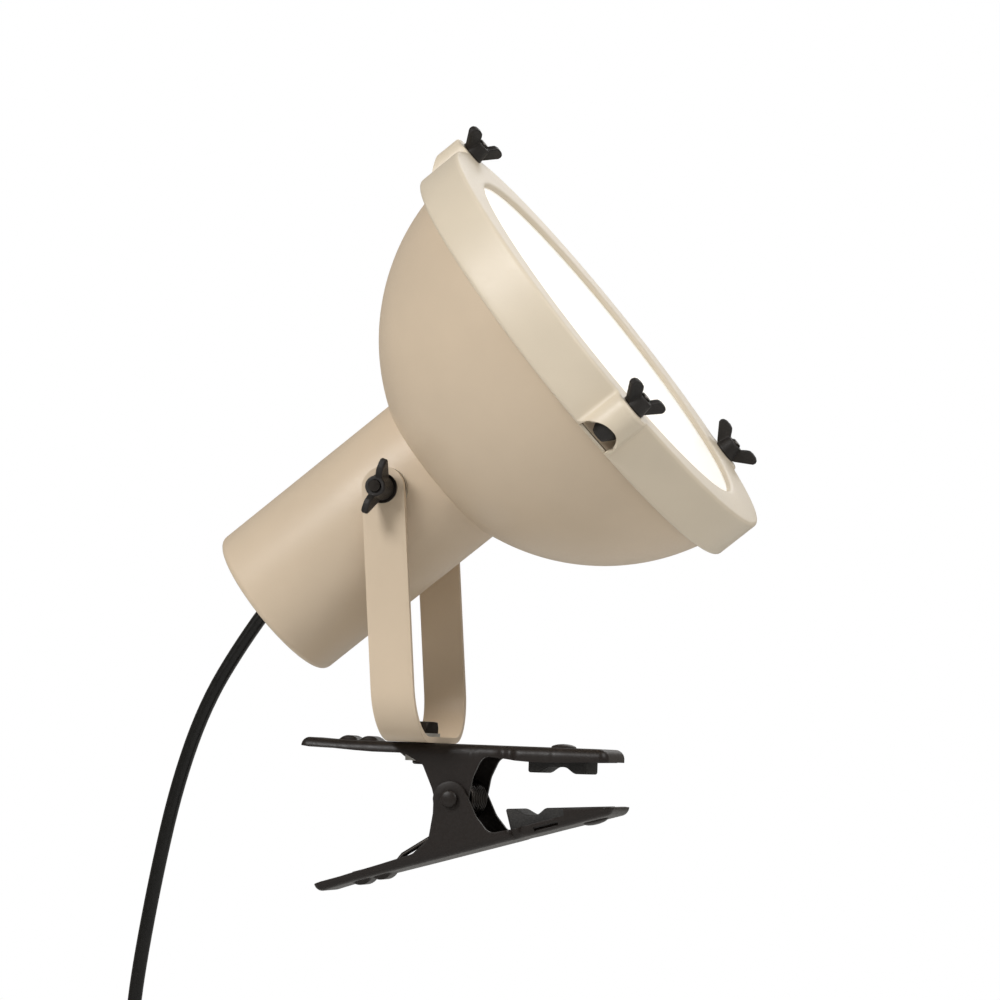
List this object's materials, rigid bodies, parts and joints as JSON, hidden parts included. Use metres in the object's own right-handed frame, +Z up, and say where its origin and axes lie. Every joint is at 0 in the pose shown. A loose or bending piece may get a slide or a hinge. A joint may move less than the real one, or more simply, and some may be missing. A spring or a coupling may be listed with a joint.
{
  "type": "clamp spotlight",
  "caption": "Clip-on spotlight: sprung clamp with rubber pads, swivelling yoke, tilting domed metal shade behind a frosted glass, wing nuts and a hanging cord with switch and plug.",
  "frame": {"origin": "on the gripping face of the upper rubber pad, midway across it, on the land beside its centre groove", "axes": "+X from the clamp hinge towards the jaw tips, +Y away from the camera across the clamp, +Z up, square to the upper pad; the shade aims up along +X"},
  "size_m": [0.2332, 0.165, 0.5327],
  "materials": {
    "clamp_paint": "satin near-black brown stoving enamel",
    "lamp_paint": "satin greige enamel",
    "ring_paint": "satin greige enamel",
    "pad_rubber": "moulded matte",
    "gasket_rubber": "matte",
    "dark_rivet": "satin enamel over steel",
    "plated_steel": "zinc plated",
    "spring_steel": "oiled spring steel",
    "wing_nut_iron": "browned cast finish",
    "fibre_washer": "pressed fibre",
    "frosted_glass": "frosted white",
    "holder_ceramic": "glazed white",
    "holder_brass": "plain",
    "bulb_cap_aluminium": "threaded cap",
    "bulb_glass": "soft white",
    "black_plastic": "moulded",
    "rocker_plastic": "moulded",
    "tie_plastic": "moulded",
    "cord_sheath": "soft sheath",
    "wire_insulation": "sleeving"
  },
  "bodies": {
    "clamp": {"upper_jaw": "clamp_paint", "upper_pad": "pad_rubber", "upper_pad_rivet": "dark_rivet", "jaw_pivot_rivet": "dark_rivet", "spring_upper_half": "spring_steel", "yoke_bolt": "plated_steel", "yoke_washer": "plated_steel", "yoke_nut": "plated_steel"},
    "lower_jaw": {"lower_jaw": "clamp_paint", "lower_pad": "pad_rubber", "lower_pad_rivet": "dark_rivet", "spring_lower_half": "spring_steel"},
    "yoke": {"yoke": "lamp_paint"},
    "head": {"neck_housing": "lamp_paint", "dome_shell": "lamp_paint", "front_ring": "ring_paint", "diffuser_glass": "frosted_glass", "glass_gasket": "gasket_rubber", "stud_brackets": "lamp_paint", "ring_studs": "plated_steel", "pivot_studs": "plated_steel", "pivot_spacers": "plated_steel", "friction_washers": "fibre_washer", "pivot_washers": "plated_steel", "lampholder_body": "holder_ceramic", "lampholder_sleeve": "holder_brass", "lampholder_contact": "holder_brass", "lampholder_bracket": "plated_steel", "holder_screws": "plated_steel", "bracket_screws": "plated_steel", "bulb_cap": "bulb_cap_aluminium", "bulb_glass": "bulb_glass", "cord_gland": "black_plastic", "gland_nut": "black_plastic", "inner_cord": "cord_sheath", "supply_wires": "wire_insulation"},
    "ring_nut_top": {"ring_wing_nut_top": "wing_nut_iron"},
    "ring_nut_near": {"ring_wing_nut_near": "wing_nut_iron"},
    "ring_nut_far": {"ring_wing_nut_far": "wing_nut_iron"},
    "pivot_nut_near": {"pivot_wing_nut_near": "wing_nut_iron"},
    "pivot_nut_far": {"pivot_wing_nut_far": "wing_nut_iron"},
    "cord": {"lead": "cord_sheath", "lead_to_coil": "cord_sheath", "lead_coil": "cord_sheath", "lead_tail": "cord_sheath", "coil_tie": "tie_plastic", "switch_base": "black_plastic", "switch_cover": "black_plastic", "switch_screws": "plated_steel", "plug_body": "black_plastic", "plug_pins": "holder_brass"},
    "switch_rocker": {"switch_rocker": "rocker_plastic"}
  },
  "joints": [
    {"name": "jaw_open", "type": "hinge", "parent": "clamp", "child": "lower_jaw", "pos_m": [-0.04412, 0, -0.0101], "axis": [0, 1, 0], "range_deg": [0, 38], "stiffness_Nm_per_rad": 1.6, "springref_deg": -40.11},
    {"name": "yoke_swivel", "type": "hinge", "parent": "clamp", "child": "yoke", "pos_m": [-0.05903, 0, 0.0088], "axis": [0, 0, 1], "range_deg": [-40, 40]},
    {"name": "head_tilt", "type": "hinge", "parent": "yoke", "child": "head", "pos_m": [-0.06669, 0, 0.0947], "axis": [0, -1, 0], "range_deg": [-38, 30]},
    {"name": "cord_hang", "type": "hinge", "parent": "head", "child": "cord", "pos_m": [-0.11877, 0, 0.05223], "axis": [0, -1, 0], "range_deg": [-30, 38]},
    {"name": "ring_nut_top_spin", "type": "hinge", "parent": "head", "child": "ring_nut_top", "pos_m": [-0.04972, 0.00145, 0.2155], "axis": [0.7749, 0, 0.632], "continuous": true},
    {"name": "ring_nut_near_spin", "type": "hinge", "parent": "head", "child": "ring_nut_near", "pos_m": [0.02847, -0.07215, 0.11963], "axis": [0.7749, 0, 0.632], "continuous": true},
    {"name": "ring_nut_far_spin", "type": "hinge", "parent": "head", "child": "ring_nut_far", "pos_m": [0.03004, 0.07068, 0.1177], "axis": [0.7749, 0, 0.632], "continuous": true},
    {"name": "pivot_nut_near_spin", "type": "hinge", "parent": "head", "child": "pivot_nut_near", "pos_m": [-0.06669, -0.0349, 0.0947], "axis": [0, -1, 0], "continuous": true},
    {"name": "pivot_nut_far_spin", "type": "hinge", "parent": "head", "child": "pivot_nut_far", "pos_m": [-0.06669, 0.0349, 0.0947], "axis": [0, 1, 0], "continuous": true},
    {"name": "switch_press", "type": "hinge", "parent": "cord", "child": "switch_rocker", "pos_m": [-0.16137, -0.006, -0.14427], "axis": [1, 0, 0], "range_deg": [0, 9]}
  ],
  "couplings": [
    {"joint": "cord_hang", "follows": "head_tilt", "ratio": -1}
  ]
}
